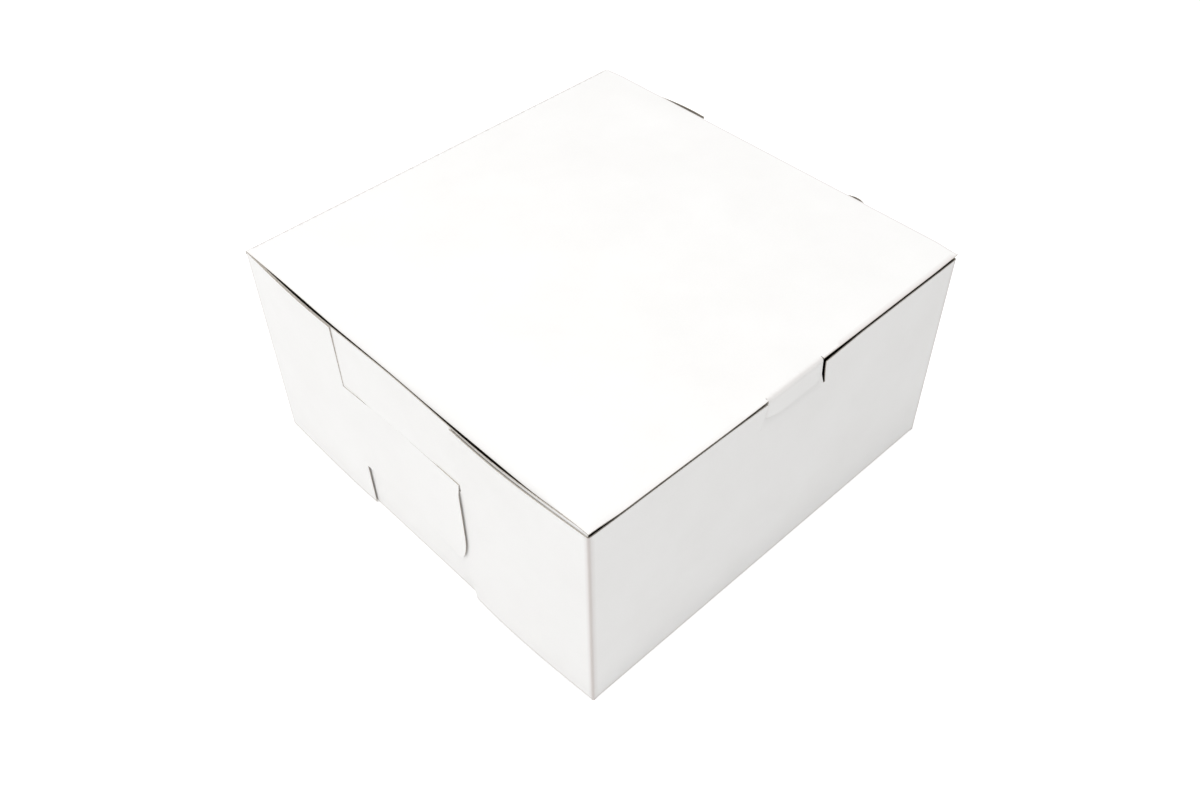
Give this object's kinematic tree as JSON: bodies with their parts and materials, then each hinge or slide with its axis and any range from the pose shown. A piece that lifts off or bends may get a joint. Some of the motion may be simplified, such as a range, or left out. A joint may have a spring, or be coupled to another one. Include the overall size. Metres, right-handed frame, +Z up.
{
  "type": "bakery box",
  "caption": "Square folded paperboard box with interlocking side walls and a hinged lid whose tab locks into the front wall.",
  "frame": {"origin": "middle of the base's underside, on the table", "axes": "+Z up, +X to the right seen from the front, front wall with the lid's lock facing -Y, lid crease at the back along X"},
  "size_m": [0.262, 0.255, 0.127],
  "materials": {
    "tray_board": "white clay-coated paperboard outside, uncoated kraft grey-brown inside and on the cut edges",
    "lid_board": "white clay-coated paperboard outside, uncoated kraft grey-brown inside and on the cut edges"
  },
  "bodies": {
    "tray": {"tray": "tray_board"},
    "lid": {"lid": "lid_board"}
  },
  "joints": [
    {"name": "lid_hinge", "type": "hinge", "parent": "tray", "child": "lid", "pos_m": [0, 0.127, 0.1265], "axis": [-1, 0, 0], "range_deg": [0, 200]}
  ]
}
